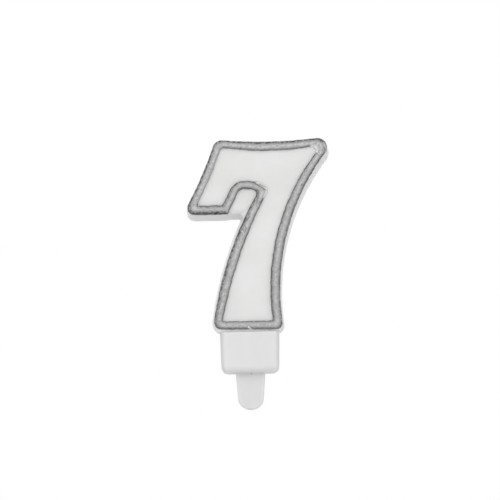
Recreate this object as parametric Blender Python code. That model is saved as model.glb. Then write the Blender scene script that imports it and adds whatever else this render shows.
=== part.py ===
"""Numeral birthday candle: a wax figure seven with a painted raised line, its wick, and a pick holder.

Metres, +Z up. The figure faces -Y and stands in the XZ plane, centred on Y = 0.
The origin is where the pick's tongue leaves the underside of the holder's cup, on the pick's axis.
"""

import math

import bmesh
import bpy
from mathutils import Vector

# Figure outline: the outer edge of the silver line, between its sharp corners
FIGURE_HEIGHT = 0.0528
TOP_WIDTH = 0.0349
TOP_RISE = 0.0009
TOP_BOW = 0.00125
TOP_SHIFT = 0.0017
FLAG_HEIGHT = 0.0208
FLAG_WIDTH = 0.0125
FLAG_LEAN = 0.0094
FLAG_BOW = 0.00055
HOOK_LEAN = 0.00335
NOTCH_RISE = 0.00695
NOTCH_DROP = 0.00015
NOTCH_WIDTH = 0.00525
STEM_LEFT_BOW = 0.0021
STEM_RIGHT_BOW = 0.00675
FOOT_WIDTH = 0.0192
FOOT_SHIFT = -0.0004
FOOT_TILT = 0.0003

# Width of the line along each side, at the side's start and end, and how much wider it is between
FOOT_LINE = 0.0022
FOOT_LINE_END = 0.0025
STEM_RIGHT_LINE = 0.0027
STEM_RIGHT_LINE_END = 0.0024
TOP_LINE = 0.00175
TOP_LINE_END = 0.00235
TOP_LINE_BELLY = 0.00027
FLAG_LEFT_LINE = 0.0022
FLAG_BOTTOM_LINE = 0.00256
HOOK_LINE = 0.0024
STEM_LEFT_LINE = 0.0023
STEM_LEFT_LINE_BELLY = 0.0005

# Arched inner edge of the line over the notch: how far its ends lie above and beyond the notch's corners
CAP_LEFT = 0.0020
CAP_RIGHT = 0.0006
CAP_REACH = 0.0021
CAP_BOW = 0.0008

# Corner radii of the line's outer edge, and of its inner edge
TOP_LEFT_RADIUS = 0.0026
TOP_LEFT_INNER = 0.0022
TOP_RIGHT_RADIUS = 0.0027
TOP_RIGHT_INNER = 0.0006
FLAG_TIP_RADIUS = 0.0020
FLAG_TIP_INNER = 0.0004
HOOK_RADIUS = 0.0004
HOOK_INNER = 0.0005
NOTCH_LEFT_RADIUS = 0.0019
NOTCH_LEFT_INNER = 0.0042
NOTCH_RIGHT_RADIUS = 0.0013
NOTCH_RIGHT_INNER = 0.0016
FOOT_LEFT_RADIUS = 0.0020
FOOT_RIGHT_RADIUS = 0.0017
FOOT_INNER = 0.0005

# Wax body: its margin round the line, the draft of its walls at a side's start and end with how much less it
# is between, and the corner radii at its back
THICKNESS = 0.0090
FACE_MARGIN = 0.0001
FOOT_MARGIN = 0.0002
EDGE_DRAFT = 0.0003
STEM_RIGHT_DRAFT = 0.0008
STEM_RIGHT_DRAFT_END = 0.0004
STEM_RIGHT_DRAFT_WAIST = 0.0001
STEM_LEFT_DRAFT = 0.00125
STEM_LEFT_DRAFT_END = 0.0005
TOP_LEFT_BACK = 0.0029
TOP_RIGHT_BACK = 0.0030
FLAG_TIP_BACK = 0.0023
FOOT_LEFT_BACK = 0.0034
FOOT_RIGHT_BACK = 0.0025
WEB_CORNER = 0.0009
WEB_CORNER_BACK = 0.0006
WEB_ROUND = 0.0013
BACK_ROUND = 0.0005

# Raised line and the silver paint over it; the flank's shoulder is at these shares of slope and height
LINE_HEIGHT = 0.0007
LINE_SLOPE = 0.00055
LINE_FLANK_IN = 0.25
LINE_FLANK_UP = 0.6
PAINT = 0.00025
PAINT_GAP = 0.0001

# Wick
WICK_DIAMETER = 0.0012
WICK_STUB = 0.0005
WICK_X = 0.0030

# Foot tenon and holder; the tongue's edge round is a share of half its thickness, and its root
# runs into the cup's floor by a share of the floor
SHOULDER = 0.0011
TENON_WIDTH = 0.0134
TENON_TAPER = 0.00015
TENON_CORNER = 0.0008
CUP_HEIGHT = 0.0106
CUP_WALL = 0.0011
CUP_CORNER = 0.0015
CUP_FLOOR = 0.0016
CUP_TAPER = 0.0002
CUP_BOTTOM_ROUND = 0.0019
RIM_ROUND = 0.0003
TONGUE_LENGTH = 0.0101
TONGUE_ROOT = 0.0085
TONGUE_TIP = 0.0070
TONGUE_TIP_BOW = 0.0024
TONGUE_CORNER = 0.0010
TONGUE_THICKNESS = 0.0020
TONGUE_TIP_THICKNESS = 0.0014
TONGUE_ROUND = 0.8
TONGUE_SUNK = 0.75

# Clearances between pieces that seat on each other
SEAT_GAP = 0.0003
TENON_GAP = 0.0003
WICK_GAP = 0.0003

# Modelling allowances: how far joined shapes run into each other, and how fine the curves are
OVERLAP = 0.0008
LEAST_RADIUS = 0.0002
WELD = 0.000001
CORNER_STEPS = 7
ARC_STEPS = 14
STRAIGHT_STEPS = 2
ROUND_STEPS = 4
BAR_STEPS = 3
NEWTON_STEPS = 12
SHARP_ANGLE = math.radians(35)


class Edge:
    """One side of an outline, straight or bowed, walked with the solid on its left hand."""

    def __init__(self, start, end, bow=0.0):
        self.start = Vector(start)
        self.end = Vector(end)
        self.bow = bow
        chord = self.end - self.start
        self.along = chord.normalized()
        self.out = Vector((self.along.y, -self.along.x))
        self.radius = None
        if bow:
            half = chord.length / 2
            # A positive bow swells outwards and gives a positive radius.
            self.radius = (half * half + bow * bow) / (2 * bow)
            self.centre = (self.start + self.end) / 2 + self.out * (bow - self.radius)

    def outward(self, point):
        """Unit vector that leaves the solid at the point of this side nearest to the given one."""
        if self.radius is None:
            return self.out
        return (point - self.centre).normalized() * math.copysign(1, self.radius)

    def distance(self, point):
        """How far the point lies outside this side."""
        if self.radius is None:
            return (point - self.start).dot(self.out)
        return math.copysign((point - self.centre).length, self.radius) - self.radius

    def walk(self, first, last, steps):
        """Points from first to last along this side's own curve, without the two ends."""
        shares = [i / steps for i in range(1, steps)]
        if self.radius is None:
            return [first.lerp(last, share) for share in shares]
        return around(self.centre, first, last, shares)

    def beside(self, at_start, at_end, belly=0.0):
        """A second edge that lies further in by so much at each end, and by belly more between them."""
        return Edge(self.start - self.out * at_start, self.end - self.out * at_end, self.bow - belly)


def around(centre, first, last, shares):
    """Points on an arc about a centre, at the given shares of the way from first to last."""
    a = first - centre
    b = last - centre
    turn = math.atan2(a.x * b.y - a.y * b.x, a.dot(b))
    points = []
    for share in shares:
        c = math.cos(turn * share)
        s = math.sin(turn * share)
        grow = 1 + (b.length / a.length - 1) * share
        points.append(centre + Vector((a.x * c - a.y * s, a.x * s + a.y * c)) * grow)
    return points


def meet(one, one_out, two, two_out, near):
    """The point that lies one_out outside one side and two_out outside the other, by Newton steps."""
    point = near.copy()
    for _ in range(NEWTON_STEPS):
        n = one.outward(point)
        m = two.outward(point)
        off = one_out - one.distance(point)
        off_two = two_out - two.distance(point)
        det = n.x * m.y - n.y * m.x
        point += Vector(((off * m.y - n.y * off_two) / det, (n.x * off_two - off * m.x) / det))
    return point


class Outline:
    """A closed outline of sides with rounded corners, which has an outer and an inner edge."""

    def __init__(self, sides):
        """Each side is (outer edge, inner edge, outer radius, inner radius), the radii at its end."""
        self.sides = sides

    def loop(self, inset=0.0, from_inner=False):
        """Points of the outer edge moved in by inset, or of the inner edge moved out by it."""
        which = 1 if from_inner else 0
        out = inset if from_inner else -inset
        edges = [side[which] for side in self.sides]
        following = edges[1:] + edges[:1]
        corners = []
        for edge, after, side in zip(edges, following, self.sides):
            turn = edge.along.x * after.along.y - edge.along.y * after.along.x
            bulge = math.copysign(1, turn)
            reach = bulge * max(side[2 + which] + bulge * out, LEAST_RADIUS)
            corner = meet(edge, 0, after, 0, edge.end)
            centre = meet(edge, out - reach, after, out - reach, corner)
            first = centre + edge.outward(centre) * reach
            last = centre + after.outward(centre) * reach
            corners.append((centre, first, last))
        shares = [step / CORNER_STEPS for step in range(1, CORNER_STEPS)]
        points = []
        for i, (centre, first, last) in enumerate(corners):
            ahead = (i + 1) % len(corners)
            bowed = any(edge.bow for edge in self.sides[ahead][:2])
            points += [first, *around(centre, first, last, shares), last]
            points += edges[ahead].walk(last, corners[ahead][1], ARC_STEPS if bowed else STRAIGHT_STEPS)
        return points


def upright(loop, y):
    """An outline loop stood up in the XZ plane at depth y."""
    return [Vector((p.x, y, p.y)) for p in loop]


def level(loop, z):
    """An outline loop laid flat at height z."""
    return [Vector((p.x, p.y, z)) for p in loop]


def quarter_round(radius):
    """(inset, depth) steps of a rounded edge, from the face's rim to the wall."""
    angles = [math.pi / 2 * step / ROUND_STEPS for step in range(ROUND_STEPS + 1)]
    return [(radius * (1 - math.sin(a)), radius * (1 - math.cos(a))) for a in angles]


def collection(name):
    made = bpy.data.collections.new(name)
    bpy.context.scene.collection.children.link(made)
    return made


def material(name, colour, roughness, metallic=0.0):
    made = bpy.data.materials.new(name)
    made.use_nodes = True
    shader = made.node_tree.nodes["Principled BSDF"]
    shader.inputs["Base Color"].default_value = (*colour, 1)
    shader.inputs["Roughness"].default_value = roughness
    shader.inputs["Metallic"].default_value = metallic
    return made


def loft(name, rings, home, ring_shaped=False):
    """A solid skinned over rings of equal count: capped at both ends, or closed on itself like a hoop."""
    mesh = bmesh.new()
    made = [[mesh.verts.new(p) for p in ring] for ring in rings]
    pairs = list(zip(made, made[1:]))
    if ring_shaped:
        pairs.append((made[-1], made[0]))
    else:
        mesh.faces.new(made[0])
        mesh.faces.new(made[-1])
    for low, high in pairs:
        for i in range(len(low)):
            j = (i + 1) % len(low)
            mesh.faces.new((low[i], low[j], high[j], high[i]))
    bmesh.ops.recalc_face_normals(mesh, faces=mesh.faces)
    data = bpy.data.meshes.new(name)
    mesh.to_mesh(data)
    mesh.free()
    data.shade_smooth()
    data.set_sharp_from_angle(angle=SHARP_ANGLE)
    obj = bpy.data.objects.new(name, data)
    home.objects.link(obj)
    return obj


def combine(obj, other, operation):
    """A Boolean on obj; the other solid becomes a hidden helper."""
    modifier = obj.modifiers.new(other.name, "BOOLEAN")
    modifier.operation = operation
    modifier.object = other
    other.hide_render = True
    other.display_type = "WIRE"


def plain(edges, radii):
    """An outline of one edge only."""
    return Outline([(edge, edge, radius, radius) for edge, radius in zip(edges, radii)])


def rectangle(width, depth, radius):
    """A rounded rectangle about the pick's axis, as an outline."""
    x = width / 2
    y = depth / 2
    corners = [(-x, -y), (x, -y), (x, y), (-x, y)]
    ends = corners[1:] + corners[:1]
    return plain([Edge(a, b) for a, b in zip(corners, ends)], [radius] * len(corners))


# Heights that follow from how the pieces stack
wax_low = CUP_HEIGHT + SEAT_GAP + FACE_MARGIN
foot_z = wax_low + FOOT_MARGIN
top_z = foot_z + FIGURE_HEIGHT
flag_z = top_z - FLAG_HEIGHT
front_y = -THICKNESS / 2
back_y = THICKNESS / 2

# Sharp corners of the figure
foot_left = Vector((FOOT_SHIFT - FOOT_WIDTH / 2, foot_z + FOOT_TILT))
foot_right = Vector((FOOT_SHIFT + FOOT_WIDTH / 2, foot_z))
top_left = Vector((foot_left.x + TOP_SHIFT, top_z))
top_right = Vector((top_left.x + TOP_WIDTH, top_z + TOP_RISE))
flag_tip = Vector((top_left.x - FLAG_LEAN, flag_z))
hook_tip = Vector((flag_tip.x + FLAG_WIDTH, flag_z))
notch_left = Vector((hook_tip.x + HOOK_LEAN, flag_z + NOTCH_RISE))
notch_right = Vector((notch_left.x + NOTCH_WIDTH, notch_left.y - NOTCH_DROP))

# Sides of the line, walked with the wax on the left hand
foot = Edge(foot_left, foot_right)
stem_right = Edge(foot_right, top_right, -STEM_RIGHT_BOW)
top = Edge(top_right, top_left, -TOP_BOW)
flag_left = Edge(top_left, flag_tip, -FLAG_BOW)
flag_bottom = Edge(flag_tip, hook_tip)
hook = Edge(hook_tip, notch_left)
crown = Edge(notch_left, notch_right)
stem_left = Edge(notch_right, foot_left, STEM_LEFT_BOW)
cap = Edge(notch_left + Vector((0, CAP_LEFT)), notch_right + Vector((CAP_REACH, CAP_RIGHT)), -CAP_BOW)
stem_left_inner = stem_left.beside(STEM_LEFT_LINE, STEM_LEFT_LINE, STEM_LEFT_LINE_BELLY)

line = Outline([
    (foot, foot.beside(FOOT_LINE, FOOT_LINE_END), FOOT_RIGHT_RADIUS, FOOT_INNER),
    (stem_right, stem_right.beside(STEM_RIGHT_LINE, STEM_RIGHT_LINE_END), TOP_RIGHT_RADIUS, TOP_RIGHT_INNER),
    (top, top.beside(TOP_LINE, TOP_LINE_END, TOP_LINE_BELLY), TOP_LEFT_RADIUS, TOP_LEFT_INNER),
    (flag_left, flag_left.beside(FLAG_LEFT_LINE, FLAG_LEFT_LINE), FLAG_TIP_RADIUS, FLAG_TIP_INNER),
    (flag_bottom, flag_bottom.beside(FLAG_BOTTOM_LINE, FLAG_BOTTOM_LINE), HOOK_RADIUS, HOOK_INNER),
    (hook, hook.beside(HOOK_LINE, HOOK_LINE), NOTCH_LEFT_RADIUS, NOTCH_LEFT_INNER),
    (crown, cap, NOTCH_RIGHT_RADIUS, NOTCH_RIGHT_INNER),
    (stem_left, stem_left_inner, FOOT_LEFT_RADIUS, FOOT_INNER),
])

# The wax has no notch: a web fills it, so the flag's lower edge runs straight on to the stem, and its
# foot is level. The outer edges are the walls' fronts, the inner ones their backs, further out by the draft.
wax_foot = Edge((foot_left.x, wax_low), (foot_right.x, wax_low))
stem_right_back = stem_right.beside(-STEM_RIGHT_DRAFT, -STEM_RIGHT_DRAFT_END, STEM_RIGHT_DRAFT_WAIST)
stem_left_back = stem_left.beside(-STEM_LEFT_DRAFT, -STEM_LEFT_DRAFT_END)
body = Outline([
    (wax_foot, wax_foot, FOOT_RIGHT_RADIUS, FOOT_RIGHT_BACK),
    (stem_right, stem_right_back, TOP_RIGHT_RADIUS, TOP_RIGHT_BACK),
    (top, top.beside(-EDGE_DRAFT, -EDGE_DRAFT), TOP_LEFT_RADIUS, TOP_LEFT_BACK),
    (flag_left, flag_left.beside(-EDGE_DRAFT, -EDGE_DRAFT), FLAG_TIP_RADIUS, FLAG_TIP_BACK),
    (flag_bottom, flag_bottom.beside(-EDGE_DRAFT, -EDGE_DRAFT), WEB_CORNER, WEB_CORNER_BACK),
    (stem_left, stem_left_back, FOOT_LEFT_RADIUS, FOOT_LEFT_BACK),
])


def line_rings(flank):
    """Rings along both edges of the line for a flank of (inset, height over the face) steps."""
    outer = [upright(line.loop(inset), front_y - height) for inset, height in flank]
    inner = [upright(line.loop(inset, True), front_y - height) for inset, height in flank]
    return outer, inner


def make_wax(parts, cutters):
    """Drafted body with a raised line on its face, a foot tenon, a wick bore and a rounded web edge."""
    rings = [upright(body.loop(-FACE_MARGIN), front_y)]
    for inset, depth in reversed(quarter_round(BACK_ROUND)):
        rings.append(upright(body.loop(FACE_MARGIN - inset, True), back_y - depth))
    wax = loft("wax_numeral", rings, parts)

    web_z = flag_z - FACE_MARGIN - EDGE_DRAFT * WEB_ROUND / THICKNESS
    arc = [(front_y + depth, web_z + inset) for inset, depth in quarter_round(WEB_ROUND)]
    past = [(front_y + WEB_ROUND, web_z - OVERLAP), (front_y - OVERLAP, web_z - OVERLAP)]
    section = [(front_y - OVERLAP, web_z + WEB_ROUND), *arc, *past]
    lean = HOOK_LEAN / NOTCH_RISE
    mouth = meet(stem_left, 0, flag_bottom, 0, hook_tip)
    ends = [
        [Vector((x + lean * (z - flag_z), y, z)) for y, z in section]
        for x in (hook_tip.x + HOOK_RADIUS, mouth.x - PAINT_GAP)
    ]
    combine(wax, loft("web_round", ends, cutters), "DIFFERENCE")

    under = PAINT + PAINT_GAP
    flank = [(under, -OVERLAP), (under, 0), (LINE_SLOPE + under, LINE_HEIGHT - under)]
    outer, inner = line_rings(flank)
    combine(wax, loft("raised_line", outer + inner[::-1], cutters, ring_shaped=True), "UNION")

    tenon_low = CUP_FLOOR + SEAT_GAP
    tenon_high = foot_z + OVERLAP
    tenon = rectangle(TENON_WIDTH, THICKNESS - 2 * SHOULDER, TENON_CORNER)
    stack = [level(tenon.loop(TENON_TAPER), tenon_low), level(tenon.loop(), tenon_high)]
    combine(wax, loft("foot_tenon", stack, cutters), "UNION")

    bore = tube("wick_bore", WICK_DIAMETER / 2 + WICK_GAP, -OVERLAP, top_z + TOP_RISE + OVERLAP, cutters)
    combine(wax, as_mesh(bore, cutters), "DIFFERENCE")
    return wax


def make_silver(parts):
    """Paint over the raised line: a thin skin that wraps its top and both flanks."""
    shoulder = (LINE_SLOPE * LINE_FLANK_IN, LINE_HEIGHT * LINE_FLANK_UP)
    outer, inner = line_rings([(0, PAINT_GAP), shoulder, (LINE_SLOPE, LINE_HEIGHT)])
    under_flank = [(LINE_SLOPE + PAINT / 2, LINE_HEIGHT - PAINT), (PAINT, PAINT_GAP)]
    under_outer, under_inner = line_rings(under_flank)
    rings = outer + inner[::-1] + under_inner[::-1] + under_outer
    return loft("silver_outline", rings, parts, ring_shaped=True)


def tube(name, radius, low, high, home):
    """An upright round bar at the wick's place."""
    curve = bpy.data.curves.new(name, "CURVE")
    curve.dimensions = "3D"
    curve.bevel_depth = radius
    curve.bevel_resolution = BAR_STEPS
    curve.use_fill_caps = True
    spline = curve.splines.new("POLY")
    spline.points.add(1)
    spline.points[0].co = (WICK_X, 0, low, 1)
    spline.points[1].co = (WICK_X, 0, high, 1)
    obj = bpy.data.objects.new(name, curve)
    home.objects.link(obj)
    return obj


def as_mesh(obj, home):
    """The curve object made a closed mesh, under its own name."""
    name = obj.name
    bpy.context.view_layer.update()
    data = bpy.data.meshes.new_from_object(obj.evaluated_get(bpy.context.evaluated_depsgraph_get()))
    mesh = bmesh.new()
    mesh.from_mesh(data)
    bmesh.ops.remove_doubles(mesh, verts=mesh.verts, dist=WELD)
    bmesh.ops.recalc_face_normals(mesh, faces=mesh.faces)
    mesh.to_mesh(data)
    mesh.free()
    bpy.data.objects.remove(obj)
    made = bpy.data.objects.new(name, data)
    home.objects.link(made)
    return made


def make_wick(parts):
    """Cotton wick from the tenon's lower end to a trimmed stub just proud of the top edge."""
    here = Vector((WICK_X, top_z))
    top_edge = meet(top, FACE_MARGIN, Edge(here, here + Vector((0, 1))), 0, here).y
    return tube("wick", WICK_DIAMETER / 2, CUP_FLOOR + SEAT_GAP, top_edge + WICK_STUB, parts)


def make_holder(parts, cutters):
    """Cup with a socket for the tenon, and the flat tongue that goes into the cake, in one moulding."""
    side = TENON_GAP + CUP_WALL
    tenon_depth = THICKNESS - 2 * SHOULDER
    cup = rectangle(TENON_WIDTH + 2 * side, tenon_depth + 2 * side, CUP_CORNER)
    rings = []
    for inset, depth in quarter_round(CUP_BOTTOM_ROUND):
        rings.append(level(cup.loop(CUP_TAPER + inset), depth))
    for inset, depth in reversed(quarter_round(RIM_ROUND)):
        rings.append(level(cup.loop(inset), CUP_HEIGHT - depth))
    holder = loft("pick_holder", rings, parts)

    socket = rectangle(TENON_WIDTH + 2 * TENON_GAP, tenon_depth + 2 * TENON_GAP, TENON_CORNER + TENON_GAP)
    hollow = [
        level(socket.loop(TENON_TAPER), CUP_FLOOR),
        level(socket.loop(), CUP_HEIGHT),
        level(socket.loop(), CUP_HEIGHT + OVERLAP),
    ]
    combine(holder, loft("socket", hollow, cutters), "DIFFERENCE")

    root = TONGUE_ROOT / 2
    tip = TONGUE_TIP / 2
    low = TONGUE_TIP_BOW - TONGUE_LENGTH
    high = CUP_FLOOR * TONGUE_SUNK
    corners = [(-tip, low), (tip, low), (root, high), (-root, high)]
    bows = [TONGUE_TIP_BOW, 0, 0, 0]
    radii = [TONGUE_CORNER, LEAST_RADIUS, LEAST_RADIUS, TONGUE_CORNER]
    ends = corners[1:] + corners[:1]
    blade = plain([Edge(a, b, bow) for a, b, bow in zip(corners, ends, bows)], radii)
    half = TONGUE_THICKNESS / 2
    front = [(inset, depth - half) for inset, depth in quarter_round(half * TONGUE_ROUND)]
    back = [(inset, -y) for inset, y in reversed(front)]
    thinner = (TONGUE_THICKNESS - TONGUE_TIP_THICKNESS) / TONGUE_THICKNESS / TONGUE_LENGTH
    rings = []
    for inset, y in front + back:
        rings.append([Vector((p.x, y * (1 + thinner * p.y), p.y)) for p in blade.loop(inset)])
    combine(holder, loft("tongue", rings, cutters), "UNION")
    return holder


def main():
    for obj in list(bpy.data.objects):
        bpy.data.objects.remove(obj, do_unlink=True)
    parts = collection("number_birthday_candle")
    cutters = collection("cutters")

    wax = make_wax(parts, cutters)
    silver = make_silver(parts)
    wick = make_wick(parts)
    holder = make_holder(parts, cutters)

    wax.data.materials.append(material("white_wax", (0.80, 0.80, 0.79), 0.45))
    silver.data.materials.append(material("silver_paint", (0.52, 0.52, 0.52), 0.35, 1.0))
    wick.data.materials.append(material("cotton", (0.78, 0.75, 0.68), 0.9))
    holder.data.materials.append(material("white_plastic", (0.76, 0.76, 0.76), 0.3))

    # The numeral lifts straight out of the cup along the pick's axis.
    lift = bpy.data.objects.new("numeral_lift", None)
    lift.location = (0, 0, CUP_HEIGHT)
    parts.objects.link(lift)
    bpy.context.view_layer.update()
    for piece in (wax, silver, wick):
        piece.parent = lift
        piece.matrix_parent_inverse = lift.matrix_world.inverted()


main()
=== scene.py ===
"""Looks of a number birthday candle: a white wax seven with a silver line, its wick and its pick holder.

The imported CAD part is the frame. Each of its four nodes is replaced by a finer surface in the same place,
and dressed with a procedural finish. Metres, +Z up; the figure faces -Y.
"""

import logging
import math
from collections.abc import Mapping, Sequence
from dataclasses import dataclass
from enum import Enum
from functools import reduce
from typing import ClassVar

import bmesh
import bpy
import numpy as np
from mathutils import Matrix, Vector


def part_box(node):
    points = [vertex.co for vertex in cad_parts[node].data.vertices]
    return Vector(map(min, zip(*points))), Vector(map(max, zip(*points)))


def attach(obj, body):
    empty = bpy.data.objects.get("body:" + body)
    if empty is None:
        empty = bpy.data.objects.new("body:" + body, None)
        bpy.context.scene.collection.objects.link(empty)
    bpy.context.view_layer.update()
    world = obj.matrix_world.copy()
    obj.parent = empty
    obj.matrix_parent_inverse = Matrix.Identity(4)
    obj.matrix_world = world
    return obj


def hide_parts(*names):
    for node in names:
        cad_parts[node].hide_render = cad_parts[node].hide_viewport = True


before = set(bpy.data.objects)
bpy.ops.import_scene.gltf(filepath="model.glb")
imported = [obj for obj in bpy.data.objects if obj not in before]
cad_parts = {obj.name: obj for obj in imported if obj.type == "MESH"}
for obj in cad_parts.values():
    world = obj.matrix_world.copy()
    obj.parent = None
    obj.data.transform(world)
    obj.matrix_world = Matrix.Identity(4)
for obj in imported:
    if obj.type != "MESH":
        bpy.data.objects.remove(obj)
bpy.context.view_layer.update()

log = logging.getLogger("candle")
Array = np.ndarray
Object = bpy.types.Object
Band = tuple[float, float]
Colour = tuple[float, float, float]
Row = tuple[float, float, float]
Waves = tuple[tuple[int, float, float], ...]
Sockets = Mapping[int | str, object]
Steps = tuple[int, int, int]
NEWTON_STEPS = 12
LARGEST_ROUND = 0.98


class Body(Enum):
    """The CAD bodies that pieces ride on."""

    HOLDER = "holder"
    NUMERAL = "numeral"


class Node(Enum):
    """The CAD nodes that pieces stand for."""

    WAX = "wax_numeral"
    SILVER = "silver_outline"
    WICK = "wick"
    HOLDER = "pick_holder"


class Slot(Enum):
    """The record's material slots."""

    WAX = "wax"
    SILVER = "silver_paint"
    COTTON = "cotton"
    PLASTIC = "holder_plastic"


class Wire:
    """A shader output that takes part in Python sums; each operator adds one Math node."""

    def __init__(self, graph: "Graph", node: bpy.types.Node, port: int | str = 0) -> None:
        """Keeps the graph, the node and one of its outputs."""
        self.graph, self.node = graph, node
        self.socket = graph.find(node.outputs, port)

    def port(self, name: int | str) -> "Wire":
        """Another output of the same node."""
        return Wire(self.graph, self.node, name)

    def sum(self, operation: str, first: "Value", second: "Value" = 0.0) -> "Wire":
        """A Math node of one operation on two values."""
        return self.graph.node("Math", {0: first, 1: second}, operation=operation)

    def __add__(self, other: "Value") -> "Wire":
        """The sum, in either order."""
        return self.sum("ADD", self, other)

    def __sub__(self, other: "Value") -> "Wire":
        """self - other"""
        return self.sum("SUBTRACT", self, other)

    def __rsub__(self, other: float) -> "Wire":
        """other - self"""
        return self.sum("SUBTRACT", other, self)

    def __mul__(self, other: "Value") -> "Wire":
        """The product, in either order."""
        return self.sum("MULTIPLY", self, other)

    def __pow__(self, other: "Value") -> "Wire":
        """self ** other"""
        return self.sum("POWER", self, other)

    def __abs__(self) -> "Wire":
        """The size of the value without its sign."""
        return self.sum("ABSOLUTE", self)

    __radd__ = __add__
    __rmul__ = __mul__

    def most(self, other: "Value") -> "Wire":
        """The larger of the two values."""
        return self.sum("MAXIMUM", self, other)

    def least(self, other: "Value") -> "Wire":
        """The smaller of the two values."""
        return self.sum("MINIMUM", self, other)

    def step(self, low: float, high: float) -> "Wire":
        """0 up to low, 1 past high and a smooth rise between; a high below low turns it round."""
        sockets = {"Value": self, "From Min": low, "From Max": high}
        return self.graph.node("MapRange", sockets, interpolation_type="SMOOTHSTEP")


Value = Wire | float


class Graph:
    """The node tree of one material or of the world, filled through one method."""

    def __init__(self, tree: bpy.types.NodeTree) -> None:
        """Empties the tree that is given."""
        self.tree = tree
        tree.nodes.clear()

    def find(self, sockets: bpy.types.bpy_prop_collection, key: int | str) -> bpy.types.NodeSocket:
        """A socket by its place or its identifier, because a Mix node uses one name several times."""
        return sockets[key] if isinstance(key, int) else next(s for s in sockets if s.identifier == key)

    def node(
        self, kind: str, sockets: Sockets | None = None, port: int | str = 0, **settings: object
    ) -> Wire | None:
        """Adds a node, with its settings made first and its sockets then set or linked.

        Args:
            kind: The node's type name after ShaderNode.
            sockets: What goes into its inputs: a Wire is linked and anything else is set.
            port: Which output to hand back.
            settings: Its properties, such as a Math node's operation.

        Returns:
            That output, or nothing from a node that has none.
        """
        made = self.tree.nodes.new("ShaderNode" + kind)
        for name, value in settings.items():
            setattr(made, name, value)
        for key, value in (sockets or {}).items():
            socket = self.find(made.inputs, key)
            if isinstance(value, Wire):
                self.tree.links.new(value.socket, socket)
            else:
                socket.default_value = (*value, 1.0) if socket.type == "RGBA" else value
        return Wire(self, made, port) if made.outputs else None

    def place(self) -> Wire:
        """The point's place on its object, in metres."""
        return self.node("TexCoord", port="Object")

    def noise(self, vector: Wire, scale: float, detail: float, roughness: float = 0.5) -> Wire:
        """Smooth noise between about 0.2 and 0.8, in blobs of one over the scale."""
        sockets = {"Vector": vector, "Scale": scale, "Detail": detail, "Roughness": roughness}
        return self.node("TexNoise", sockets, "Fac")

    def join(self, x: Value, y: Value, z: Value) -> Wire:
        """A vector of three values."""
        return self.node("CombineXYZ", {"X": x, "Y": y, "Z": z})

    def split(self, vector: Wire) -> tuple[Wire, Wire, Wire]:
        """The three values of a vector."""
        made = self.node("SeparateXYZ", {"Vector": vector})
        return made, made.port("Y"), made.port("Z")

    def mix(self, share: Value, first: Wire | Colour, second: Wire | Colour) -> Wire:
        """A colour between two colours."""
        sockets = {"Factor_Float": share, "A_Color": first, "B_Color": second}
        return self.node("Mix", sockets, "Result_Color", data_type="RGBA")

    def bump(self, height: Wire, distance: float) -> Wire:
        """A normal tilted by a height map of the given depth."""
        return self.node("Bump", {"Height": height, "Distance": distance, "Strength": 1.0})


@dataclass(frozen=True)
class Scratch:
    """A straight scratch on the face: its two ends as X and Z, and half its width."""

    x: float
    z: float
    end_x: float
    end_z: float
    half_width: float

    def mask(self, x: Wire, z: Wire) -> Wire:
        """Where the scratch is.

        A point's place along it is the projection on its line, held between the two ends. The mask falls
        from 1 to 0 as the distance from there passes the half width.

        Args:
            x: The point's X.
            z: The point's Z.

        Returns:
            The mask.
        """
        run_x = self.end_x - self.x
        run_z = self.end_z - self.z
        square = run_x * run_x + run_z * run_z
        from_x = x - self.x
        from_z = z - self.z
        share = (from_x * (run_x / square) + from_z * (run_z / square)).most(0.0).least(1.0)
        off_x = from_x - share * run_x
        off_z = from_z - share * run_z
        reach = (off_x * off_x + off_z * off_z) ** 0.5
        return reach.step(self.half_width * 1.5, self.half_width * 0.5)


def scratch_mask(g: Graph, place: Wire, scratches: Sequence[Scratch]) -> Wire:
    """The largest of several scratches' masks."""
    x, _, z = g.split(place)
    return reduce(Wire.most, [scratch.mask(x, z) for scratch in scratches])


@dataclass(frozen=True)
class Finish:
    """A procedural material; each kind says what goes into its Principled shader."""

    name: str
    refraction: float = 1.5
    glow: float = 0.0
    glow_tint: Colour = (1.0, 1.0, 1.0)
    glow_depth: float = 0.001

    def look(self, g: Graph) -> Sockets:
        """What else goes into the Principled shader, by socket."""
        raise NotImplementedError

    def cover(self, g: Graph, shader: Wire) -> Wire:
        """The shader that goes to the output."""
        return shader

    def make(self) -> bpy.types.Material:
        """Makes the material.

        Returns:
            The material.
        """
        made = bpy.data.materials.new(self.name)
        made.use_nodes = True
        g = Graph(made.node_tree)
        glow = {
            "IOR": self.refraction,
            "Subsurface Weight": self.glow,
            "Subsurface Radius": self.glow_tint,
            "Subsurface Scale": self.glow_depth,
        }
        shader = g.node("BsdfPrincipled", {**glow, **self.look(g)})
        g.node("OutputMaterial", {"Surface": self.cover(g, shader)})
        return made


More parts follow.
